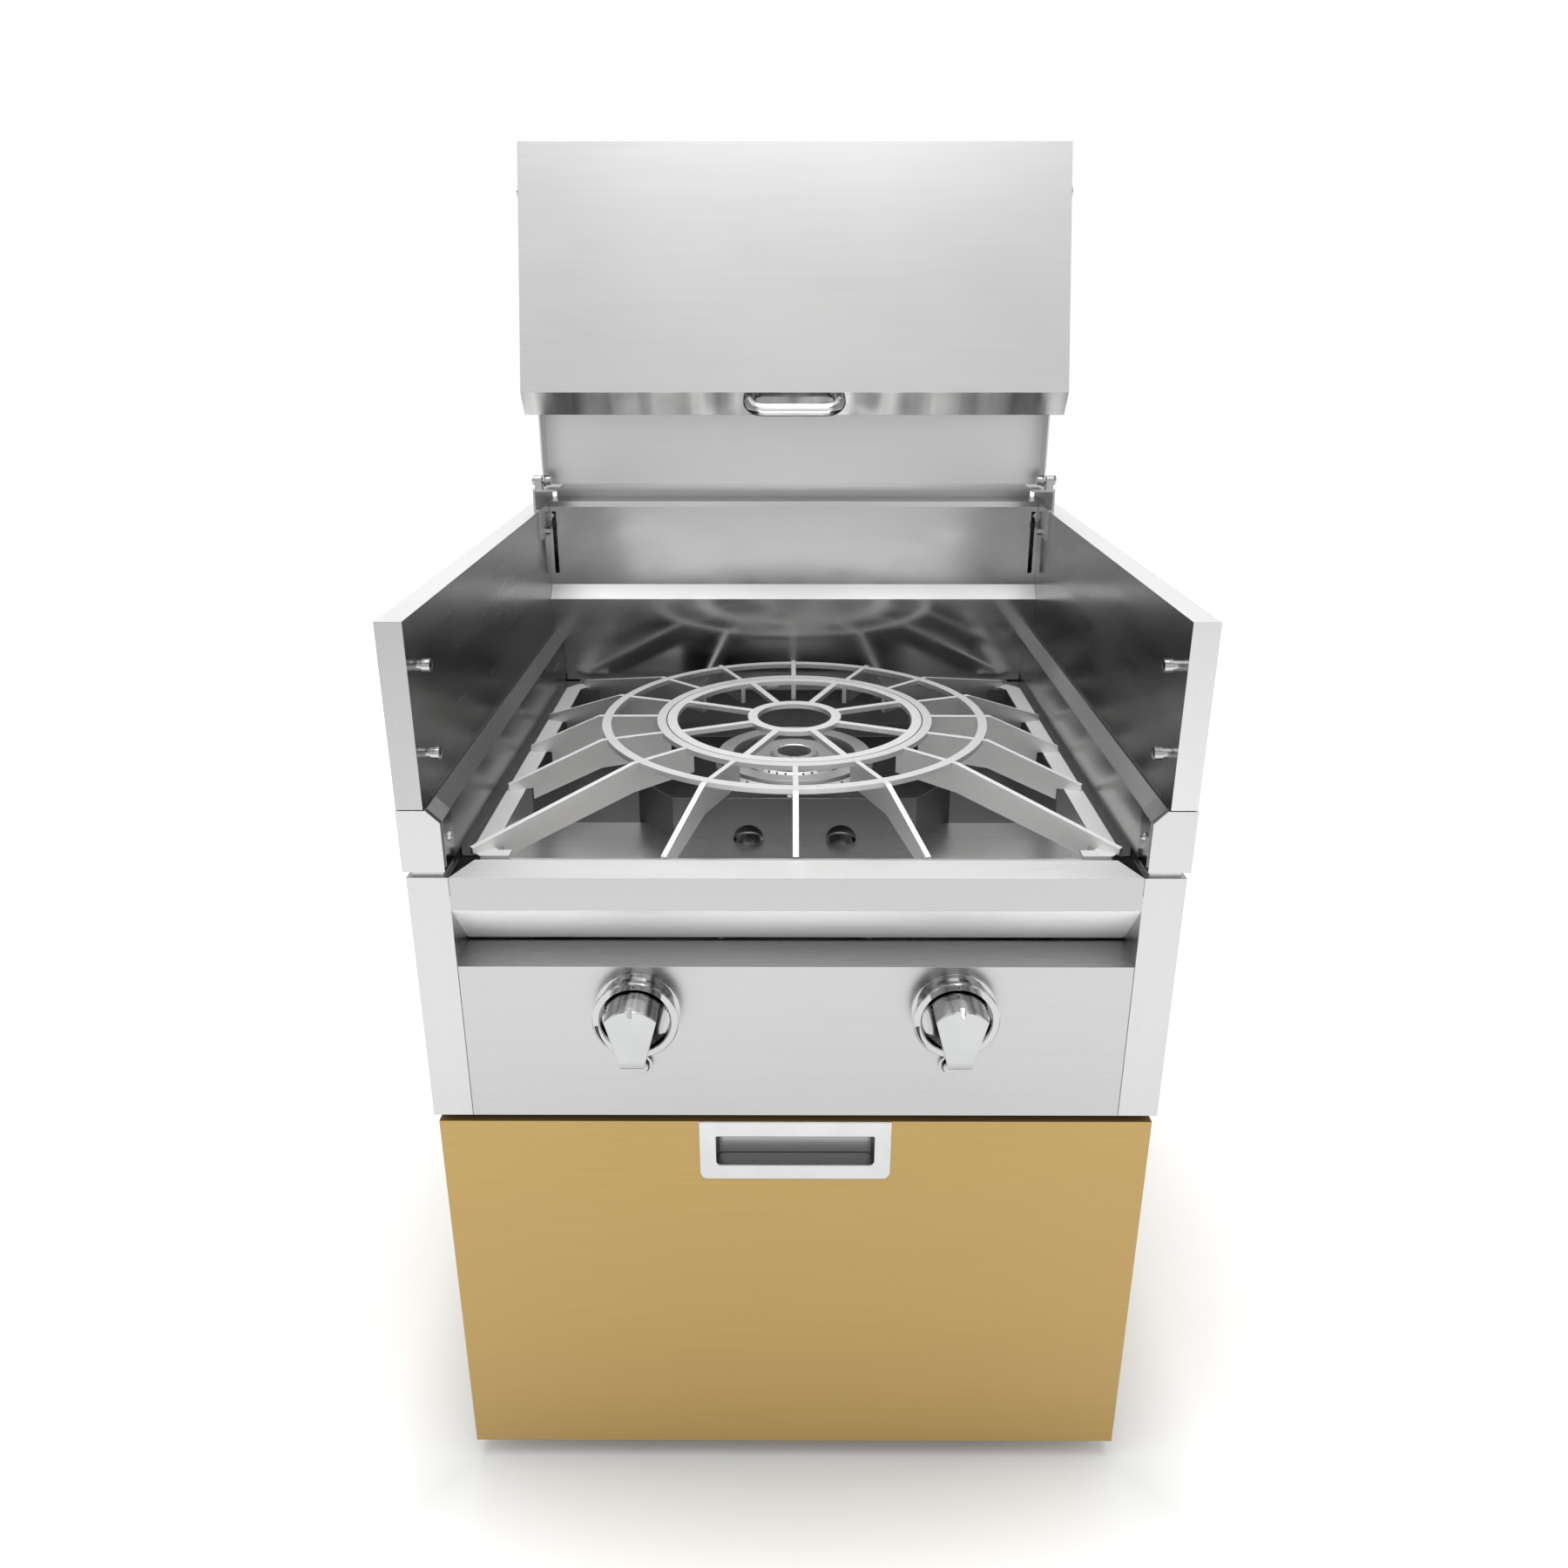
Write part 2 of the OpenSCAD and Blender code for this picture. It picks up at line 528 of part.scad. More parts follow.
// Burner
burner_z = pan_z + 71;
module burner_bowl() color("dimgray") in_frame() translate([0, grate_y, 0]) difference() {
    union() {
        for (a = [30 : 60 : 330]) rotate(a) rod_z(pan_z + sheet, burner_z - 49, 83, 0, 5);
        rotate_extrude($fn = 96) polygon([
            [14, burner_z - 50], [burner_r - 2, burner_z - 50], [burner_r - 2, burner_z - 40],
            [burner_r - 16, burner_z - 40], [burner_r - 16, burner_z - 44], [46, burner_z - 44],
            [46, burner_z - 26], [22, burner_z - 26], [22, burner_z - 44], [14, burner_z - 44]]);
    }
    pair() rod_z(burner_z - 51, burner_z - 43, venturi_x, 0, venturi_r - 2);
}
module outer_port_ring() color("silver") in_frame() translate([0, grate_y, 0]) difference() {
    rotate_extrude($fn = 96) polygon([
        [burner_r - 16, burner_z - 40], [burner_r, burner_z - 40], [burner_r, burner_z - 11],
        [burner_r - 4, burner_z - 6], [burner_r - 8, burner_z - 6], [burner_r - 8, burner_z - 3],
        [burner_r - 3, burner_z - 3], [burner_r - 3, burner_z], [burner_r - 22, burner_z],
        [burner_r - 22, burner_z - 5], [burner_r - 16, burner_z - 8]]);
    rotate_extrude($fn = 96) translate([burner_r - 11, burner_z - 41]) square([7, 31]);
    for (i = [0 : port_n - 1]) rotate(i * 360 / port_n)
        translate([burner_r - 7, 0, burner_z - 12.5]) rotate([0, 50, 0]) cylinder(r = 1.5, h = 12, $fn = 16);
}
module inner_port_ring() color("silver") in_frame() translate([0, grate_y, 0]) difference() {
    rotate_extrude($fn = 96) polygon([
        [22, burner_z - 26], [cap_r - 3, burner_z - 26], [cap_r + 3, burner_z - 20],
        [cap_r + 3, burner_z - 10], [cap_r - 1, burner_z - 5], [22, burner_z - 5]]);
    rotate_extrude($fn = 96) translate([29, burner_z - 27]) square([18, 13]);
    for (i = [0 : 31]) rotate(i * 360 / 32)
        translate([45, 0, burner_z - 16]) rotate([0, 52, 0]) cylinder(r = 1.4, h = 18, $fn = 16);
}
module burner_cap() color("silver") in_frame() translate([0, grate_y, 0]) difference() {
    rotate_extrude($fn = 96) polygon([
        [21, burner_z - 5], [cap_r - 1, burner_z - 5], [cap_r, burner_z - 4], [cap_r, burner_z - 2],
        [31, burner_z - 2], [28, burner_z + 3], [22, burner_z + 3], [21, burner_z + 2]]);
    for (i = [0 : 15]) rotate(i * 22.5 + 11.25) rod_z(burner_z, burner_z + 4, 25, 0, 1.3);
}

venturi_z = pan_z - 26;
module venturi_tubes() color("gray") in_frame() pair() translate([venturi_x, 0, 0]) difference() {
    union() {
        rod_y(venturi_front + 24, grate_y, 0, venturi_z, venturi_r);
        rod_z(venturi_z, burner_z - 50, 0, grate_y, venturi_r);
        translate([0, grate_y, venturi_z]) sphere(r = venturi_r);
        translate([0, venturi_front + 6, venturi_z]) rotate([-90, 0, 0])
            cylinder(r1 = venturi_r + 6, r2 = venturi_r, h = 18);
        rod_y(venturi_front, venturi_front + 6, 0, venturi_z, venturi_r + 6);
    }
    rod_y(venturi_front + 24, grate_y, 0, venturi_z, venturi_r - 2);
    rod_z(venturi_z, burner_z - 49, 0, grate_y, venturi_r - 2);
    translate([0, grate_y, venturi_z]) sphere(r = venturi_r - 2);
    translate([0, venturi_front + 5.9, venturi_z]) rotate([-90, 0, 0])
        cylinder(r1 = venturi_r + 4, r2 = venturi_r - 2, h = 18.2);
    for (a = [0 : 90 : 270]) translate([0, venturi_front - 1, venturi_z]) rotate([-90, 0, 0]) rotate(a)
        translate([13, 0, 0]) cylinder(r = 6, h = 8);
    rod_y(venturi_front - 1, venturi_front + 7, 0, venturi_z, 4);
}
elbow_r = 4.8;
module gas_feed_pipes() color("silver") in_frame() pair() {
    strut([knob_x, 40, knob_z], [knob_x, 56, knob_z], 4);
    translate([knob_x, 56, knob_z]) sphere(r = elbow_r);
    strut([knob_x, 56, knob_z], [venturi_x, venturi_front - 20, venturi_z], 4);
    translate([venturi_x, venturi_front - 20, venturi_z]) sphere(r = elbow_r);
    strut([venturi_x, venturi_front - 20, venturi_z], [venturi_x, venturi_front + 6, venturi_z], 4);
}
module gas_valves() color("darkkhaki") in_frame() pair() difference() {
    union() {
        box(knob_x - 16, knob_x + 16, sheet, 32, knob_z - 17, knob_z + 17);
        rod_y(32, 40, knob_x, knob_z, 9);
    }
    rod_y(sheet - 1, 26, knob_x, knob_z, stem_r + 0.05);
}

manifold_z = knob_z - 36;
module gas_manifold() color("silver") in_frame() {
    rod_x(-knob_x - 40, inlet_x + 12, 22, manifold_z, 11);
    for (x = [-knob_x, knob_x]) rod_z(manifold_z, knob_z - 17, x, 22, 7);
    strut([inlet_x, 22, manifold_z], [inlet_x, inlet_y, manifold_z], 9);
    translate([inlet_x, inlet_y, manifold_z]) sphere(r = 9);
    rod_z(lower_h - 24, manifold_z, inlet_x, inlet_y, 9);
    translate([inlet_x, inlet_y, lower_h - 18]) cylinder(r = 13, h = 12, $fn = 6);
    rod_z(lower_h - 44, lower_h - 24, inlet_x, inlet_y, 8);
}

module igniter_electrodes() color("white") in_frame() {
    rod_z(pan_z + sheet, burner_z - 16, -6, grate_y - burner_r - 3.4, 2.6);
    rod_z(burner_z - 16, burner_z - 6, -6, grate_y - burner_r - 3.4, 1);
    rod_z(burner_z - 44, burner_z - 20, 18, grate_y - 65, 3.2);
    rod_z(burner_z - 20, burner_z - 6, 18, grate_y - 65, 1);
}
module igniter_modules() color("dimgray") in_frame() pair() difference() {
    rod_y(sheet, 62, button_x, button_z, 12);
    rod_y(sheet - 1, 18, button_x, button_z, 8.4);
}

// Controls
module knob_bezels() color("gainsboro") in_frame() pair() difference() {
    translate([knob_x, 0, knob_z]) rotate([90, 0, 0]) rotate_extrude($fn = 96) polygon([
        [10, 0], [bezel_d / 2, 0], [bezel_d / 2, 2.5], [bezel_d / 2 - 4, 3.5], [bezel_d / 2 - 4, 15],
        [bezel_d / 2, 18], [bezel_d / 2, 20], [bezel_d / 2 - 1, 21], [knob_d / 2 + 2.5, 21],
        [knob_d / 2 + 1.5, 20], [knob_d / 2 + 1.5, 4], [10, 4]]);
}
stem_r = 4;
module knob(s) color("gainsboro") in_frame() side(s) translate([knob_x, 0, knob_z]) rotate([90, 0, 0]) {
    difference() {
        union() {
            translate([0, 0, 4 + gap]) cylinder(r = knob_d / 2, h = 30);
            intersection() {
                translate([0, 0, 10]) cylinder(r = knob_d / 2 - 2, h = 46);
                translate([0, 0, 10]) linear_extrude(60) polygon([
                    [-26, 40], [26, 40], [26, 18], [13, -31], [10, -34], [-10, -34], [-13, -31], [-26, 18]]);
            }
        }
        translate([-1.5, 20, 30]) cube([3, 20, 40]);
    }
    translate([0, 0, -24]) cylinder(r = stem_r, h = 44);
}
module left_knob() knob(-1);
module right_knob() knob(1);

module igniter_bezels() color("gainsboro") in_frame() pair() difference() {
    rod_y(-4, 0, button_x, button_z, 12.5);
    rod_y(-5, 1, button_x, button_z, 9.8);
}
module igniter_button(s) color("gainsboro") in_frame() side(s) {
    rod_y(-8, 12, button_x, button_z, 8);
    rod_y(-9, -8, button_x, button_z, 6.8);
}
module left_igniter_button() igniter_button(-1);
module right_igniter_button() igniter_button(1);

// Cylinder drawer
pull_z = drawer_h - pull_h;
pull_open = pull_w / 2 - 17.5;
pull_open_z = [pull_z + 18, pull_z + 55];
module drawer_front() color("goldenrod") in_frame() difference() {
    box(0.5 - lower_half, lower_half - 0.5, 0, 22, 1, drawer_h);
    box(3 - lower_half, lower_half - 3, sheet, 23, 3, drawer_h - sheet);
    box(-pull_open - 2.2, pull_open + 2.2, -1, 5, pull_open_z[0] - 2.2, drawer_h - 3.8);
}
module drawer_pull() color("silver") in_frame() difference() {
    union() {
        difference() {
            box(-pull_w / 2, pull_w / 2, -1.5, 0, pull_z, drawer_h);
            pair() translate([pull_w / 2 - 8, 0, pull_z + 8]) difference() {
                box(0, 9, -3, 4, -9, 0);
                rod_y(-4, 5, 0, 0, 8);
            }
        }
        box(-pull_open - 2, pull_open + 2, -1, 22, pull_open_z[0] - 2, drawer_h - 4);
    }
    box(-pull_open, pull_open, -2, 20, pull_open_z[0], pull_open_z[1]);
    box(-pull_open, pull_open, 2, 20, pull_open_z[0], drawer_h - 6);
}
module drawer_tray() color("silver") in_frame() {
    difference() {
        box(-tray_half, tray_half, 22, tray_back, tray_floor, tray_top);
        box(sheet - tray_half, tray_half - sheet, 24, tray_back - sheet, tray_floor + sheet, tray_top + 1);
    }
    box(1 - lower_half, lower_half - 1, 22, 23.7, 2, liner_h);
    translate([0, cylinder_y, tray_floor + sheet]) rotate_extrude($fn = 96)
        translate([cylinder_r, 0]) square([3, 18]);
}

// Telescopic slides between the cabinet sides and the tray, each a folded channel
module channel(web_x, lip_x, inset) {
    x0 = min(web_x, lip_x);
    x1 = max(web_x, lip_x);
    z0 = slide_z + inset;
    z1 = slide_z + slide_h - inset;
    w = web_x == x0 ? x0 : x1 - 1.5;
    box(w, w + 1.5, 40, 40 + slide_l, z0, z1);
    box(x0, x1, 40, 40 + slide_l, z0, z0 + 1.5);
    box(x0, x1, 40, 40 + slide_l, z1 - 1.5, z1);
}
module outer_slide_members() color("silver") in_frame() pair() channel(slide_x, slide_x - 11, 0);
module middle_slide_members() color("silver") in_frame() pair() channel(slide_x - 2, slide_x - 10, 2);
module inner_slide_members() color("silver") in_frame() pair() channel(tray_half, tray_half + 9, 4);

levelling_feet();
cabinet_base();
cabinet_left_side();
cabinet_right_side();
cabinet_back();
deck_plate();
left_front_post();
right_front_post();
front_rail();
control_panel();
upper_left_side();
upper_right_side();
upper_back();
left_side_rail();
right_side_rail();
rail_end_caps();
rail_cap_screws();
left_wind_guard();
right_wind_guard();
rest_peg_screws();
rest_peg_sleeves();
rest_peg_nuts();
rear_wall();
rear_duct_panel();
hinge_brackets();
bracket_bolts();
hinge_bolts();
rear_lid_half();
front_lid_half();
fold_bolts();
lid_handle_bar();
lid_handle_mounts();
burner_pan();
burner_tub();
grate_side_plates();
grate_ribs();
grate_rings();
grate_insert();
burner_bowl();
outer_port_ring();
inner_port_ring();
burner_cap();
venturi_tubes();
gas_feed_pipes();
gas_valves();
gas_manifold();
igniter_electrodes();
igniter_modules();
knob_bezels();
left_knob();
right_knob();
igniter_bezels();
left_igniter_button();
right_igniter_button();
drawer_front();
drawer_pull();
drawer_tray();
outer_slide_members();
middle_slide_members();
inner_slide_members();
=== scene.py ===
"""Looks of an outdoor kitchen power burner: brushed and mirror steel, gold powder coat, chrome."""

import math

import bpy
import numpy as np
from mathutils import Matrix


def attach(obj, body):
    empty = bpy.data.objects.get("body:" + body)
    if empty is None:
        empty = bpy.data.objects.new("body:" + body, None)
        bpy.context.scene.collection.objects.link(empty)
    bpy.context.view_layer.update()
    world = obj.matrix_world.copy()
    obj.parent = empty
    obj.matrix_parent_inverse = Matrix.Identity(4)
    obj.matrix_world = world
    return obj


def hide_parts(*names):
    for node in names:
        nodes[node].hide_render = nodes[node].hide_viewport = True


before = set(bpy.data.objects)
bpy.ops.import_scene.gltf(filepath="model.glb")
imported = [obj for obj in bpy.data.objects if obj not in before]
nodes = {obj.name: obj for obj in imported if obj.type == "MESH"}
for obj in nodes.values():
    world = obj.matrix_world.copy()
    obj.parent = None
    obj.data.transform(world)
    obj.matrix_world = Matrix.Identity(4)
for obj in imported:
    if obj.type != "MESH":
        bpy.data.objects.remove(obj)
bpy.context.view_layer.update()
scene = bpy.context.scene

# The frame has its origin on the floor under the middle of the cabinet, and is in metres. Sizes
# here are millimetres from the cabinet's front face and its underside.
FRONT = -0.381
FEET = 0.025
MM = 0.001


def place(x, y, z):
    """Millimetres right of the middle, back and up, as a point in metres."""
    return (x * MM, y * MM + FRONT, z * MM + FEET)


# Materials
class Graph:
    """A shader tree under work: adds nodes and joins them."""

    def __init__(self, tree):
        self.tree = tree

    def put(self, node, key, value):
        """Links an output to one of a node's inputs, or sets the input to a plain value."""
        socket = node.inputs[key]
        if isinstance(value, bpy.types.NodeSocket):
            self.tree.links.new(value, socket)
        else:
            socket.default_value = value

    def add(self, kind, props=None, **inputs):
        n = self.tree.nodes.new(kind)
        for key, value in (props or {}).items():
            setattr(n, key, value)
        for key, value in inputs.items():
            self.put(n, key.replace("_", " "), value)
        return n

    def math(self, op, a, b=0.0):
        n = self.add("ShaderNodeMath", {"operation": op})
        self.put(n, 0, a)
        self.put(n, 1, b)
        return n.outputs[0]

    def plus(self, a, b):
        return self.math("ADD", a, b)

    def minus(self, a, b):
        return self.math("SUBTRACT", a, b)

    def times(self, a, b):
        return self.math("MULTIPLY", a, b)

    def coordinate(self, kind, axis):
        """One axis of the Object, Normal or, in the sky, Generated coordinates."""
        coord = self.add("ShaderNodeTexCoord").outputs[kind]
        return self.add("ShaderNodeSeparateXYZ", Vector=coord).outputs["XYZ".index(axis)]

    def mix(self, factor, a, b):
        n = self.add("ShaderNodeMix", {"data_type": "RGBA"})
        for index, value in ((0, factor), (6, a), (7, b)):
            self.put(n, index, value)
        return n.outputs[2]

    def noise(self, scale, detail=3.0, rough=0.6, stretch=(1, 1, 1)):
        coord = self.add("ShaderNodeTexCoord").outputs["Object"]
        where = self.add("ShaderNodeMapping", Vector=coord, Scale=stretch).outputs[0]
        n = self.add("ShaderNodeTexNoise", Vector=where, Scale=scale, Detail=detail, Roughness=rough)
        return n.outputs["Fac"]

    def span(self, value, low, high, new_low, new_high):
        n = self.add("ShaderNodeMapRange", Value=value)
        for key, v in zip(("From Min", "From Max", "To Min", "To Max"), (low, high, new_low, new_high)):
            self.put(n, key, v)
        return n.outputs[0]

    def vary(self, noise, low, high):
        """The middle of a noise, where nearly all of it lies, spread from low to high."""
        return self.span(noise, 0.3, 0.7, low, high)


class Material(Graph):
    """A material under work, with its one shader."""

    def __init__(self, name):
        self.mat = bpy.data.materials.new(name)
        self.mat.use_nodes = True
        super().__init__(self.mat.node_tree)
        self.bsdf = self.tree.nodes["Principled BSDF"]

    def tinted(self, light, green=1.0, blue=1.0):
        """A grey of the given lightness, with its green and blue a little lower."""
        return self.add("ShaderNodeCombineColor", Red=light, Green=self.times(light, green),
                        Blue=self.times(light, blue)).outputs[0]

    def finish(self, color, metallic, roughness, height, strength, distance, edge=0.0006):
        """Joins the results to the shader, with a bump on edges that are rounded for the light."""
        rounded = self.add("ShaderNodeBevel", {"samples": 4}, Radius=edge).outputs[0]
        bump = self.add("ShaderNodeBump", Height=height, Strength=strength, Distance=distance, Normal=rounded)
        for key, value in (("Base Color", color), ("Metallic", metallic), ("Roughness", roughness),
                           ("Normal", bump.outputs[0])):
            self.put(self.bsdf, key, value)
        return self.mat


# Which way a zone of a brushed piece faces: an axis and a sign.
UP, DOWN = ("Z", 1.0), ("Z", -1.0)
AHEAD, BACK = ("Y", -1.0), ("Y", 1.0)
RIGHT, LEFT = ("X", 1.0), ("X", -1.0)
# Further out than any part of the object, and the roughness under which a zone is polished.
FAR = 9000.0
POLISHED = 0.25


def zone(facing, tone, rough, least=0.5):
    """Faces whose normal reaches at least so far along a signed axis, with their tone and roughness."""
    return facing, tone, rough, least


def brushed(name, grain, tone, rough=0.30, zones=(), wear=0.03, behind=FAR, beyond=FAR, shade=1.0,
            bands=0.0, ends=FAR):
    """Brushed steel: noise stretched along the axis of its grain, with wider streaks and clouds.
    A zone that is smoother than POLISHED has soft smears in place of the grain, as on the inner faces
    of the guards, and can carry painted bright and dark bands of reflection, painted darker beyond its ends.
    Behind one distance from the front, and beyond another from the middle, the tone is multiplied by
    the shade, a painted shade that darkens the steel there."""
    g = Material(name)

    def stretched(along, across):
        return [along if axis == grain else across for axis in "XYZ"]

    fine = g.noise(1.0, 4.0, 0.62, stretched(9.0, 1500.0))
    streak = g.noise(1.0, 3.0, 0.5, stretched(1.2, 90.0))
    cloud = g.noise(3.1, 2.0, 0.5)
    speck = g.noise(900.0, 2.0, 0.5)
    change = g.plus(g.vary(fine, -0.04, 0.035), g.span(streak, 0.35, 0.65, -0.006, 0.006))
    change = g.plus(g.plus(change, g.vary(cloud, -wear, wear)), 1.0)
    light = g.times(change, tone)
    # Painted shade: the steel turns darker behind the one distance and beyond the other.
    if shade < 1.0:
        depth = g.minus(g.coordinate("Object", "Y"), behind * MM + FRONT)
        aside = g.minus(g.math("ABSOLUTE", g.coordinate("Object", "X")), beyond * MM)
        light = g.times(light, g.span(g.math("MAXIMUM", depth, aside), -0.0004, 0.0004, 1.0, shade))
    r = g.plus(g.vary(fine, rough - 0.05, rough + 0.07), g.vary(cloud, -0.03, 0.03))
    height = g.plus(fine, g.times(speck, 0.15))
    for (axis, sign), zone_tone, zone_rough, least in zones:
        mask = g.math("GREATER_THAN", g.times(g.coordinate("Normal", axis), sign), least)
        rest = g.minus(1.0, mask)
        if zone_rough < POLISHED:
            smear = g.noise(1.0, 3.0, 0.55, (6, 2.0, 11))
            new_light = g.span(smear, 0.35, 0.65, zone_tone * 0.90, zone_tone * 1.08)
            new_rough = g.span(smear, 0.35, 0.65, zone_rough * 0.7, zone_rough * 1.4)
            height = g.times(height, g.minus(1.0, g.times(mask, 0.9)))
            # Painted reflection: bright and dark bands, and a darker reflection beyond the ends.
            if bands:
                painted_reflection_stripe = g.noise(1.0, 3.0, 0.6, (17, 0.3, 0.3))
                new_light = g.times(new_light, g.span(painted_reflection_stripe, 0.38, 0.62, 1 - bands, 1 + 0.6 * bands))
                aside = g.minus(g.math("ABSOLUTE", g.coordinate("Object", "X")), ends * MM)
                new_light = g.times(new_light, g.span(aside, 0.0, 0.004, 1.0, 0.60))
        else:
            new_light = g.times(change, zone_tone)
            new_rough = g.vary(fine, zone_rough - 0.05, zone_rough + 0.07)
        light = g.plus(g.times(light, rest), g.times(new_light, mask))
        r = g.plus(g.times(r, rest), g.times(new_rough, mask))
    tangent = g.add("ShaderNodeCombineXYZ", **{grain: 1.0})
    g.put(g.bsdf, "Anisotropic", 0.3)
    g.put(g.bsdf, "Tangent", tangent.outputs[0])
    return g.finish(g.tinted(light, 0.995, 0.99), 1.0, r, height, 0.06, 0.0002)


def polished(name, tone=0.80, rough=0.06, scuffs=0.05, warm=0.0, bands=0.0, ends=FAR):
    """Polished metal with faint smears and fine scratches. Faces that look up can carry painted bright and
    dark bands of reflection, and parts further from the middle than the ends carry a painted dark reflection."""
    g = Material(name)
    smear = g.noise(22.0, 3.0, 0.6)
    scratch = g.noise(1.0, 2.0, 0.5, (90, 900, 240))
    light = g.vary(smear, tone * 0.95, tone * 1.03)
    # Painted reflection: bright and dark bands on faces that look up.
    if bands:
        painted_reflection_stripe = g.noise(1.0, 2.0, 0.5, (95, 4, 4))
        dark = g.times(g.span(painted_reflection_stripe, 0.40, 0.60, bands, -0.5 * bands),
                       g.span(g.coordinate("Normal", "Z"), 0.15, 0.5, 0.0, 1.0))
        light = g.times(light, g.minus(1.0, dark))
    # Painted dark reflection: the metal turns dark beyond the ends.
    if ends < FAR:
        aside = g.minus(g.math("ABSOLUTE", g.coordinate("Object", "X")), ends * MM)
        light = g.times(light, g.span(aside, -0.003, 0.003, 1.0, 0.3))
    r = g.plus(g.vary(smear, rough, rough + scuffs), g.span(scratch, 0.55, 0.75, 0.0, 0.05))
    return g.finish(g.tinted(light, 1 - warm, 1 - 1.6 * warm), 1.0, r, scratch, 0.04, 0.0001, 0.0004)


def powder_gold(name, edge=0.0):
    """Satin gold coating with a fine brushed grain under it. Its edges that look up can carry a painted
    shade.
    """
    deep, bright = (0.406, 0.265, 0.081, 1), (0.433, 0.286, 0.091, 1)
    pale, shadow = (0.430, 0.288, 0.098, 1), (0.030, 0.022, 0.012, 1)
    g = Material(name)
    grain = g.noise(1.0, 4.0, 0.6, (7, 420, 420))
    orange = g.noise(650.0, 2.0, 0.5)
    cloud = g.noise(2.4, 2.0, 0.5)
    color = g.mix(g.vary(grain, 0.0, 1.0), deep, bright)
    color = g.mix(g.vary(cloud, 0.0, 0.35), color, pale)
    # Painted shade: faces that look up are mixed toward a dark shadow colour.
    if edge:
        mask = g.times(g.math("GREATER_THAN", g.coordinate("Normal", "Z"), 0.7), edge)
        color = g.mix(mask, color, shadow)
    r = g.plus(g.vary(orange, 0.40, 0.50), g.vary(cloud, -0.03, 0.03))
    height = g.plus(g.times(grain, 0.5), g.times(orange, 0.6))
    return g.finish(color, 0.35, r, height, 0.12, 0.0002, 0.0008)


def plain(name, color, rough, grain_scale=700.0, bump=0.25, spread=0.12):
    """Moulded plastic, rubber or ceramic with a fine surface texture."""
    g = Material(name)
    grain = g.noise(grain_scale, 3.0, 0.6)
    cloud = g.noise(30.0, 2.0, 0.5)
    dark = tuple(c * (1 - spread) for c in color) + (1.0,)
    bright = tuple(min(1.0, c * (1 + spread)) for c in color) + (1.0,)
    tint = g.mix(g.vary(cloud, 0.0, 1.0), dark, bright)
    r = g.vary(grain, rough - 0.06, rough + 0.06)
    return g.finish(tint, 0.0, r, grain, bump, 0.0002, 0.0004)


# Steel of the body. The panel carries a painted shade at its ends, a thin dark line for the gap where it
# meets the posts.
PANEL_END = 339.2
steel_x = brushed("steel_grain_x", "X", 0.63, zones=[zone(UP, 0.72, 0.42, 0.9), zone(BACK, 0.38, 0.32)])
steel_y = brushed("steel_grain_y", "Y", 0.60)
steel_z = brushed("steel_grain_z", "Z", 0.48)
steel_side = brushed("steel_upper_sides", "Y", 0.40, 0.32)
steel_front = brushed("steel_front_rail", "X", 0.39,
                      zones=[zone(UP, 1.0, 0.60, 0.9), zone(DOWN, 1.0, 0.7, 0.2)])
# Painted shade: a thin dark strip at either end of the panel, beyond PANEL_END.
steel_panel = brushed("steel_panel", "X", 0.41, zones=[zone(UP, 0.32, 0.30, 0.9)],
                      beyond=PANEL_END, shade=0.22)

# Steel round the cooking space: the inner faces of the guards, rails and wall are nearly mirrors.
outer_face = (0.36, 0.32)
guard_top = zone(UP, 0.9, 0.4, 0.9)
steel_guard_l = brushed("steel_guard_left", "Z", 0.40,
                        zones=[zone(RIGHT, 0.27, 0.24), zone(LEFT, *outer_face), guard_top])
steel_guard_r = brushed("steel_guard_right", "Z", 0.54,
                        zones=[zone(LEFT, 0.255, 0.24), zone(RIGHT, *outer_face), guard_top])
steel_rail_l = brushed("steel_rail_left", "Y", 0.485,
                       zones=[zone(RIGHT, 0.20, 0.24), zone(LEFT, 0.40, 0.32)])
steel_rail_r = brushed("steel_rail_right", "Y", 0.485,
                       zones=[zone(LEFT, 0.42, 0.24), zone(RIGHT, 0.40, 0.32)])
steel_wall = brushed("steel_rear_wall", "X", 0.73, 0.42,
                     zones=[zone(AHEAD, 0.39, 0.17, 0.9), zone(UP, 0.36, 0.30, 0.9)])

# The pan is bright in front of the tub, and carries a painted shade behind its step and along its ledges.
PAN_STEP = 290.0
PAN_LEDGE = 321.0
steel_pan = brushed("steel_pan", "X", 0.84, behind=PAN_STEP, beyond=PAN_LEDGE, shade=0.36)
steel_burner = brushed("steel_burner", "X", 0.20, 0.32, wear=0.06)
steel_ports = brushed("steel_port_rings", "X", 0.85, 0.38, wear=0.06)
steel_grate = brushed("steel_grate", "X", 0.88, 0.42, zones=[zone(UP, 1.0, 0.8, 0.9)])
steel_rings = brushed("steel_grate_rings", "X", 0.70, 0.42, zones=[zone(UP, 1.0, 0.7, 0.9)])
steel_plate = brushed("steel_side_plates", "Y", 0.60, 0.34, zones=[zone(UP, 0.80, 0.8, 0.9)])

# The lid's lip looks down and is polished, and carries painted bands of reflection, painted darker at its
# ends.
LIP_END = 318.0
steel_lid = brushed("steel_lid", "X", 0.59, 0.36, zones=[zone(DOWN, 0.56, 0.12, 0.4)], bands=0.42,
                    ends=LIP_END)
steel_bracket = brushed("steel_brackets", "Y", 0.40, 0.28)
# The recess is toned down, and its floor a little more: a painted shade in the hollow of the pull.
steel_recess = brushed("steel_pull_recess", "X", 0.39, zones=[zone(UP, 0.36, 0.28, 0.9)])

# Bright fittings. The handle carries a painted dark reflection where it curves back to the lid.
HANDLE_END = 47.0
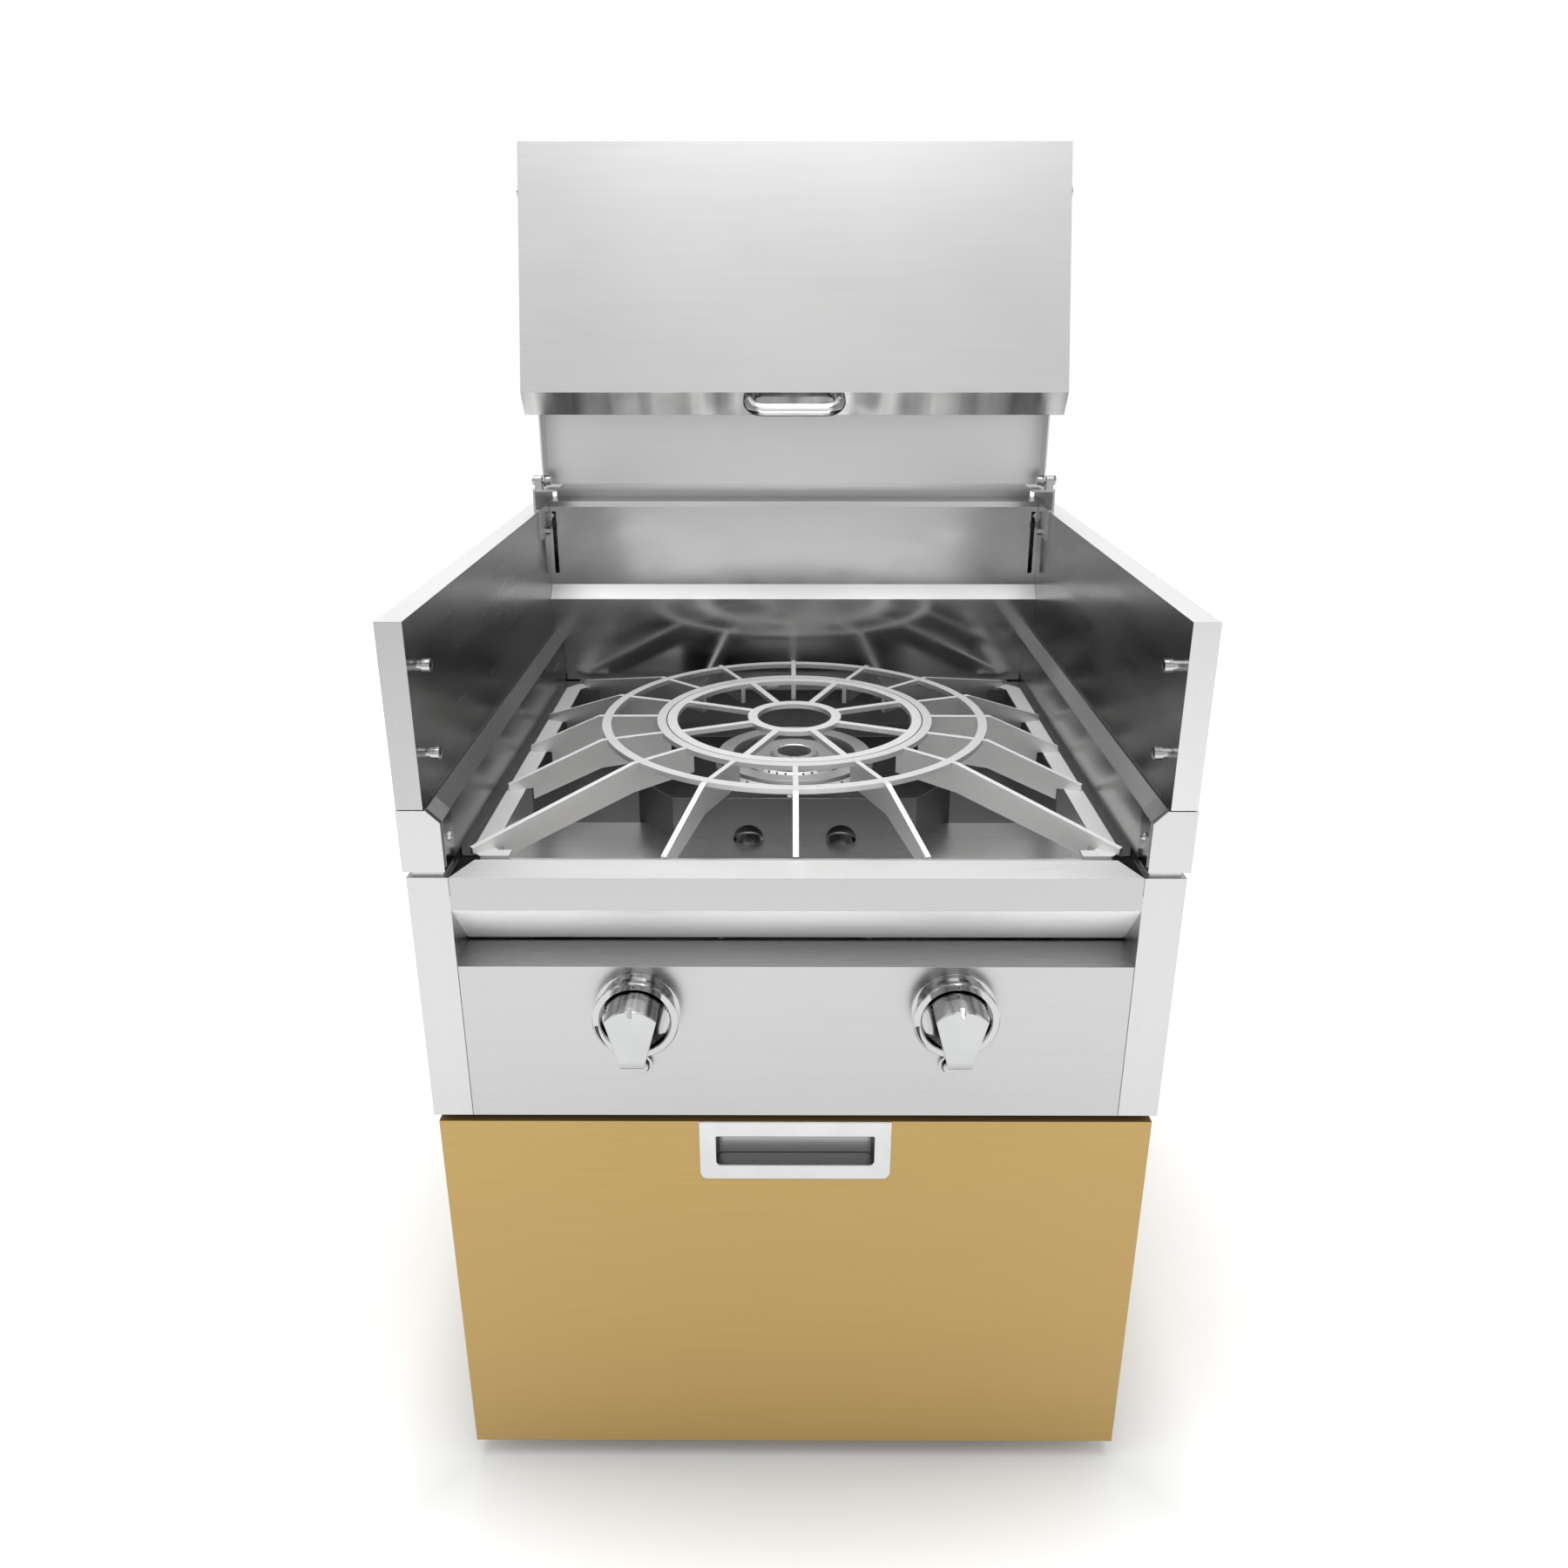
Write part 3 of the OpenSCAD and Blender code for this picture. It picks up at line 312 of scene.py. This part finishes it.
# The knobs, bezels, buttons and screws carry painted bands of reflection on faces that look up.
knob_steel = polished("knob_steel", 0.41, 0.09, bands=0.75)
handle_chrome = polished("handle_chrome", ends=HANDLE_END)
cap_steel = polished("rail_cap_steel", 0.26, 0.12)
pull_steel = polished("pull_steel", 0.55, 0.10)
chrome = polished("chrome")
aluminium = polished("aluminium_tube", 0.66, 0.24, 0.10)
brass = polished("valve_brass", 0.72, 0.22, 0.12, 0.22)
gold = powder_gold("gold_powder_coat")
# The drawer front's top edge carries a painted shade, for the gap under the control panel.
gold_front = powder_gold("gold_drawer_front", edge=0.5)
ceramic = plain("white_ceramic", (0.80, 0.79, 0.75), 0.22, 300.0, 0.05, 0.03)
plastic = plain("black_plastic", (0.025, 0.025, 0.027), 0.45)
rubber = plain("black_rubber", (0.030, 0.030, 0.030), 0.65, 500.0, 0.4)

LOOKS = (
    (gold, ("cabinet_base", "cabinet_left_side", "cabinet_right_side", "cabinet_back")),
    (gold_front, ("drawer_front",)),
    (steel_x, ("upper_back", "rear_duct_panel")),
    (steel_y, ("drawer_tray",)),
    (steel_z, ("left_front_post", "right_front_post")),
    (steel_side, ("upper_left_side", "upper_right_side")),
    (steel_front, ("front_rail",)),
    (steel_panel, ("control_panel",)),
    (steel_rail_l, ("left_side_rail",)),
    (steel_rail_r, ("right_side_rail",)),
    (steel_guard_l, ("left_wind_guard",)),
    (steel_guard_r, ("right_wind_guard",)),
    (steel_wall, ("rear_wall",)),
    (steel_lid, ("rear_lid_half", "front_lid_half")),
    (steel_bracket, ("hinge_brackets",)),
    (steel_pan, ("burner_pan",)),
    # The deck plate takes the dark burner steel as a painted shade in the gap above the drawer.
    (steel_burner, ("deck_plate", "burner_tub", "burner_bowl")),
    (steel_ports, ("outer_port_ring", "inner_port_ring", "burner_cap", "venturi_tubes")),
    (steel_grate, ("grate_ribs", "grate_insert")),
    (steel_rings, ("grate_rings",)),
    (steel_plate, ("grate_side_plates",)),
    (cap_steel, ("rail_end_caps",)),
    (pull_steel, ("drawer_pull",)),
    (chrome, ("lid_handle_bar", "lid_handle_mounts")),
    (knob_steel, ("left_knob", "right_knob", "knob_bezels", "igniter_bezels", "left_igniter_button",
                  "right_igniter_button", "rail_cap_screws", "rest_peg_screws", "rest_peg_sleeves",
                  "rest_peg_nuts", "bracket_bolts", "hinge_bolts", "fold_bolts")),
    (aluminium, ("gas_feed_pipes", "gas_manifold", "outer_slide_members", "middle_slide_members",
                 "inner_slide_members")),
    (brass, ("gas_valves",)),
    (ceramic, ("igniter_electrodes",)),
    (plastic, ("igniter_modules",)),
    (rubber, ("levelling_feet",)),
)
for material, names in LOOKS:
    for name in names:
        data = nodes[name].data
        data.materials.clear()
        data.materials.append(material)


# New pieces
def add_piece(name, points, faces, material, body, replaced=(), angle=35):
    """Makes an object from an array of points in metres and a list of faces. Faces under the given
    angle to each other shade smooth, and an angle of 0 leaves all of them flat."""
    mesh = bpy.data.meshes.new(name)
    mesh.from_pydata(points.reshape(-1, 3).tolist(), [], faces)
    mesh.validate()
    mesh.update()
    mesh.materials.append(material)
    obj = bpy.data.objects.new(name, mesh)
    scene.collection.objects.link(obj)
    if angle:
        mesh.shade_smooth()
        mesh.set_sharp_from_angle(angle=math.radians(angle))
    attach(obj, body)
    if replaced:
        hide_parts(*replaced)
    return obj


def grid_faces(rings, around, capped=True, first=0):
    """Quads of a grid of points whose rows are closed rings: each quad joins a point, the next one
    round its ring and the same two of the next ring. A capped grid ends in two flat faces, and in
    any other the last ring meets the first."""
    index = first + np.arange(rings * around).reshape(rings, around)
    start, end = (index[:-1], index[1:]) if capped else (index, np.roll(index, -1, axis=0))
    quads = np.stack([start, np.roll(start, -1, axis=1), np.roll(end, -1, axis=1), end], axis=-1)
    faces = quads.reshape(-1, 4).tolist()
    if capped:
        faces += [index[0, ::-1].tolist(), index[-1].tolist()]
    return faces


def grid(x, y, z):
    """Arrays of distances right, back and up in millimetres, as a grid of points in metres."""
    return np.stack(np.broadcast_arrays(*place(x, y, z)), axis=-1)


def prisms(lay, parts):
    """Points and faces of prisms, each given as an outline of two distances and as two ends. Each is
    a grid of two rings: the outline at the one end and at the other. The lay function turns the two
    distances and the end into points, and grid itself makes upright prisms."""
    points, faces = [], []
    for outline, start, end in parts:
        faces += grid_faces(2, len(outline), first=sum(map(len, points)))
        points.append(lay(outline[:, 0], outline[:, 1], np.array([[start], [end]])).reshape(-1, 3))
    return np.concatenate(points), faces


# The two knobs stand on the front, this far from the middle and above the underside. Faces of a
# knob that meet at less than its sharp angle shade smooth.
KNOB_X = 161.0
KNOB_Z = 595.0
KNOB_R = 34.0
KNOB_OUT = 56.0
KNOB_SHARP = 28.0


def knob_radius(out, angle):
    """Radius of the knob at arrays of outward distances and polar angles: a drum cut by flat planes,
    each at a reach from the axis, so its radius is the reach over the cosine of the angle to the
    plane's normal, and the least radius counts. Two scoops leave a tapering grip between them, with
    a quarter circle at their floor, and a third plane cuts the chamfered foot of the grip."""
    scoop_from, scoop_round, grip = 15.0, 13.0, 19.4
    depth = np.clip(out - scoop_from, 0.0, scoop_round)
    rounding = scoop_round - np.sqrt(scoop_round**2 - (scoop_round - depth) ** 2)
    scoop = grip + np.where(out > scoop_from, rounding, 60.0)
    foot = 33.2 - np.maximum(0.0, out - 53.0) * 0.9
    radius = KNOB_R
    for across, up, reach in ((0.967, -0.255, scoop), (-0.967, -0.255, scoop), (0.0, -1.0, foot)):
        along = across * np.cos(angle) + up * np.sin(angle)
        radius = np.minimum(radius, np.where(along > 1e-6, reach / np.maximum(along, 1e-6), 1e9))
    return radius


def slot_cutter(cx):
    """A round-ended bar that leans at 45 degrees across the knob's top edge: an outline of two half
    circles, carried from above the edge to the slot's floor."""
    half, radius, floor_at, above = 5.5, 2.4, 5.2, -6.0
    turn = np.linspace(-math.pi / 2, math.pi / 2, 12)
    long = np.concatenate([half + radius * np.cos(turn), -half - radius * np.cos(turn)])
    wide = np.concatenate([radius * np.sin(turn), -radius * np.sin(turn)])
    sink = np.array([[floor_at], [above]])
    lean = math.sqrt(0.5)
    points = grid(cx + wide, -(KNOB_OUT + lean * (long - sink)), KNOB_Z + KNOB_R - lean * (long + sink))
    return points, grid_faces(2, points.shape[1])


def knob(name, side, body):
    """A knob: its radius worked out on a grid of outward distances and polar angles, then a slot cut
    across its top edge that shows where the grip points."""
    cx = KNOB_X * side
    out = np.concatenate([[4.4, 4.8, 8.0, 14.99, 15.01], np.linspace(15.4, 28.0, 14),
                          [36.0, 44.0, 50.0, 52.0, 54.0, 55.2, 55.7, KNOB_OUT]])[:, None]
    eased = np.interp(out, [4.4, 4.8, 54.0, 55.2, 55.7, KNOB_OUT], [0.5, 0.0, 0.0, 0.05, 0.3, 0.8])
    angle = np.linspace(0.0, 2 * math.pi, 240, endpoint=False)
    radius = knob_radius(out, angle) - eased
    points = grid(cx + radius * np.cos(angle), -out, KNOB_Z + radius * np.sin(angle))
    obj = add_piece(name, points, grid_faces(*points.shape[:2]), knob_steel, body, [body],
                    KNOB_SHARP)
    points, faces = slot_cutter(cx)
    mesh = bpy.data.meshes.new(name + "_cut")
    mesh.from_pydata(points.reshape(-1, 3).tolist(), [], faces)
    tool = bpy.data.objects.new(name + "_cut", mesh)
    scene.collection.objects.link(tool)
    mod = obj.modifiers.new("slot", "BOOLEAN")
    mod.operation, mod.object, mod.solver = "DIFFERENCE", tool, "EXACT"
    bpy.context.view_layer.update()
    result = bpy.data.meshes.new_from_object(obj.evaluated_get(bpy.context.evaluated_depsgraph_get()))
    obj.modifiers.clear()
    obj.data = result
    bpy.data.objects.remove(tool)
    result.shade_smooth()
    result.set_sharp_from_angle(angle=math.radians(KNOB_SHARP))


def lid_handle():
    """A round bar bent into a shallow bridge: a circle carried along a path whose two ends curve out
    from the lip of the lid by a quarter of an ellipse each."""
    half, rise, off, bend, bar = 57.5, 5.0, 22.0, 20.0, 8.4
    sunk, foot, bend_from = -1.5, 2.0, 4.0
    lip_back, lip_up = 531.4, 1153.7
    lean = np.array([0.849, 0.529])
    turn = np.linspace(0.0, math.pi / 2, 22)
    right = np.concatenate([[half, half], half - bend * (1 - np.cos(turn)), [30.0, 20.0, 10.0]])
    proud = np.concatenate([[sunk, foot], bend_from + (off - bend_from) * np.sin(turn), [off, off, off]])
    right, proud = np.concatenate([right, -right[::-1]]), np.concatenate([proud, proud[::-1]])
    step = np.stack([right, proud])
    step = np.pad(step, ((0, 0), (1, 1)), mode="edge")
    step = step[:, 2:] - step[:, :-2]
    normal_x, normal_out = step[1] / np.hypot(*step), -step[0] / np.hypot(*step)
    angle = np.arange(28) * 2 * math.pi / 28
    x = right[:, None] + bar * np.outer(normal_x, np.cos(angle))
    out = proud[:, None] + bar * np.outer(normal_out, np.cos(angle))
    up = rise + bar * np.sin(angle)
    points = grid(x, lip_back - lean[0] * out - lean[1] * up, lip_up - lean[1] * out + lean[0] * up)
    add_piece("lid_handle", points, grid_faces(*points.shape[:2]), handle_chrome, "front_lid",
              ["lid_handle_bar", "lid_handle_mounts"], angle=50)


def scale_marks(name, side):
    """Thin dark marks on the knob's bezel: a dot at the top and a wedge that grows with the flame.
    The wedge lies between an arc and a curve whose radius falls evenly with the angle."""
    reach, dot, rim, thin, wide = 39.4, 1.1, 41.6, 41.4, 3.9
    base, top = -20.9, -21.12
    turn = np.linspace(0.0, 2 * math.pi, 20, endpoint=False)
    outlines = [np.stack([dot * np.cos(turn), reach + dot * np.sin(turn)], axis=1)]
    first, last = math.radians(188), math.radians(226)
    out_turn = np.linspace(first, last, 20)
    in_turn = np.linspace(math.radians(225), first, 20)
    turn = np.concatenate([out_turn, in_turn])
    radius = np.concatenate([np.full(20, rim), thin - wide * (last - in_turn) / (last - first)])
    outlines.append(np.stack([radius * np.cos(turn), radius * np.sin(turn)], axis=1))

    def on_bezel(right, up, back):
        return grid(KNOB_X * side + right, back, KNOB_Z + up)

    points, faces = prisms(on_bezel, [(outline, base, top) for outline in outlines])
    add_piece(name, points, faces, plastic, "frame", angle=0)


def rounded_outline(half, low, high, low_r, high_r, grow):
    """An upright rectangle whose corners are quarter circles, as arrays of right and up distances.
    All its edges move out, and the corners grow, by one distance."""
    half, low, high, low_r, high_r = half + grow, low - grow, high + grow, low_r + grow, high_r + grow
    radius = np.array([[low_r], [high_r], [high_r], [low_r]])
    middle_x = np.array([[1], [1], [-1], [-1]]) * (half - radius)
    middle_z = np.array([[low], [high], [high], [low]]) + np.array([[1], [-1], [-1], [1]]) * radius
    angle = np.radians(np.array([[-90], [0], [90], [180]]) + np.linspace(0, 90, 8))
    return (middle_x + radius * np.cos(angle)).ravel(), (middle_z + radius * np.sin(angle)).ravel()


def recess_outline(grow):
    """The pull's recess seen from above: open at the front, with a quarter circle at either rear
    corner. Its sides, back and corners grow by one distance."""
    half, back, radius, front = 84.5 + grow, 20.0 + grow, 8.0 + grow, 0.4
    turn = np.linspace(math.pi / 2, 0.0, 10)
    right = np.concatenate([[half], half - radius + radius * np.sin(turn)])
    depth = np.concatenate([[front], back - radius + radius * np.cos(turn)])
    return np.stack([np.concatenate([right, -right[::-1]]), np.concatenate([depth, depth[::-1]])], axis=1)


def flush_pull():
    """The drawer's flush pull: a plate with rounded corners, made as a closed band of rings round its
    opening, and a recess of a wall, a floor and two end plates that is rounded at the back. Every
    ring stands out by one distance and is grown by another, which rounds the plate's edges."""
    plate = (102.0, 384.0, 458.0, 8.0, 2.0)
    opening = (84.5, 402.0, 439.0, 5.0, 2.0)
    rings = []
    for outline, steps in ((plate, ((0.0, 0.0), (0.8, 0.0), (1.45, -0.9))),
                           (opening, ((1.45, 0.9), (0.9, 0.0), (-0.6, 0.0)))):
        for out, grow in steps:
            x, z = rounded_outline(*outline, grow)
            rings.append(grid(x, -out, z))
    points = np.stack(rings)
    add_piece("flush_pull_plate", points, grid_faces(*points.shape[:2], capped=False), pull_steel, "drawer",
              ["drawer_pull"], angle=30)
    low, high, wall, under, play = 400.6, 452.6, 1.4, 1.2, 0.7
    outer = recess_outline(wall)
    points, faces = prisms(grid, ((np.concatenate([outer, recess_outline(0.0)[::-1]]), low, high),
                                  (recess_outline(-play), low, low + wall),
                                  (outer, low - under, low), (outer, high, high + wall)))
    add_piece("flush_pull_recess", points, faces, steel_recess, "drawer", angle=30)


knob("left_control_knob", -1, "left_knob")
knob("right_control_knob", 1, "right_knob")
lid_handle()
flush_pull()
scale_marks("left_scale_marks", -1)
scale_marks("right_scale_marks", 1)


# Stage
def floor():
    """A pale floor with a painted contact shadow close round the foot of the cabinet, and a glow that rises
    further out so that it is evenly white there.
    """
    mesh = bpy.data.meshes.new("studio_floor")
    mesh.from_pydata([(-9, -7, 0), (9, -7, 0), (9, 9, 0), (-9, 9, 0)], [], [(0, 1, 2, 3)])
    obj = bpy.data.objects.new("studio_floor", mesh)
    scene.collection.objects.link(obj)
    g = Material("studio_floor")
    cloud = g.noise(0.8, 2.0, 0.5)
    x, y = g.coordinate("Object", "X"), g.coordinate("Object", "Y")
    foot_x, foot_y = 0.36, 0.37
    outside_x = g.minus(g.math("ABSOLUTE", x), foot_x)
    outside = g.math("MAXIMUM", outside_x, g.minus(g.math("ABSOLUTE", y), foot_y))
    # Painted contact shadow: the floor turns darker towards the cabinet's footprint.
    pale = g.times(g.vary(cloud, 0.90, 0.92), g.span(outside, -0.01, 0.14, 0.70, 1.0))
    color = g.add("ShaderNodeCombineColor", Red=g.times(pale, 0.97), Green=g.times(pale, 0.99), Blue=pale)
    away = g.math("SQRT", g.plus(g.math("POWER", x, 2.0), g.math("POWER", y, 2.0)))
    for key, value in (("Base Color", color.outputs[0]), ("Roughness", 0.9), ("Specular IOR Level", 0.1),
                       ("Emission Color", (1, 1, 1, 1)),
                       ("Emission Strength", g.span(away, 0.42, 1.4, 0.05, 0.70))):
        g.put(g.bsdf, key, value)
    mesh.materials.append(g.mat)


def sky():
    """A white studio that darkens overhead, with two soft dark strips above the sides and a dim
    patch low in front, so that polished faces show depth. Behind the object it is seen as white."""
    world = bpy.data.worlds.new("studio")
    world.use_nodes = True
    scene.world = world
    g = Graph(world.node_tree)

    def ramp(value, *points):
        n = g.add("ShaderNodeValToRGB", Fac=value)
        stops = n.color_ramp.elements
        while len(stops) < len(points):
            stops.new(0.5)
        for stop, (position, level) in zip(stops, points):
            stop.position, stop.color = position, (level, level, level, 1)
        return n.outputs["Color"]

    x, y, z = (g.coordinate("Generated", axis) for axis in "XYZ")
    rise = ramp(z, (0.30, 1.0), (0.60, 0.94), (1.0, 0.88))
    strip = ramp(g.math("ABSOLUTE", x), (0.24, 0.0), (0.32, 1.0), (0.46, 1.0), (0.56, 0.0))
    high = ramp(z, (0.42, 0.0), (0.62, 1.0))
    front = ramp(g.times(y, -1.0), (0.86, 0.0), (0.97, 0.42))
    low = ramp(g.math("ABSOLUTE", z), (0.12, 1.0), (0.26, 0.0))
    level = g.times(rise, g.minus(1.0, g.times(g.times(strip, high), 0.62)))
    level = g.times(level, g.minus(1.0, g.times(front, low)))
    seen = g.add("ShaderNodeLightPath").outputs["Is Camera Ray"]
    background = g.tree.nodes["Background"]
    g.put(background, "Color", g.math("MAXIMUM", level, seen))
    g.put(background, "Strength", 1.0)


def softbox(name, location, target, size, power):
    """A square lamp that faces a target."""
    light = bpy.data.lights.new(name, "AREA")
    light.size = size
    light.energy = power
    obj = bpy.data.objects.new(name, light)
    obj.location = location
    d = np.array(target) - np.array(location)
    obj.rotation_euler = (math.atan2(math.hypot(d[0], d[1]), -d[2]), 0, math.atan2(d[0], -d[1]) + math.pi)
    scene.collection.objects.link(obj)


def camera():
    """The photograph's view, from in front and a little above."""
    data = bpy.data.cameras.new("photo_view")
    data.sensor_width = 36.0
    data.lens = 26.749
    data.shift_y = -0.0382
    obj = bpy.data.objects.new("photo_view", data)
    obj.location = (-0.00923, -1.40114, 1.28995)
    obj.rotation_euler = (math.radians(70.488), 0.0, math.radians(0.154))
    scene.collection.objects.link(obj)
    scene.camera = obj


floor()
sky()
camera()
softbox("top_box", (-0.2, -0.5, 4.2), (0, 0, 0.7), 3.4, 85)
scene.view_settings.view_transform = "Standard"
scene.view_settings.look = "None"
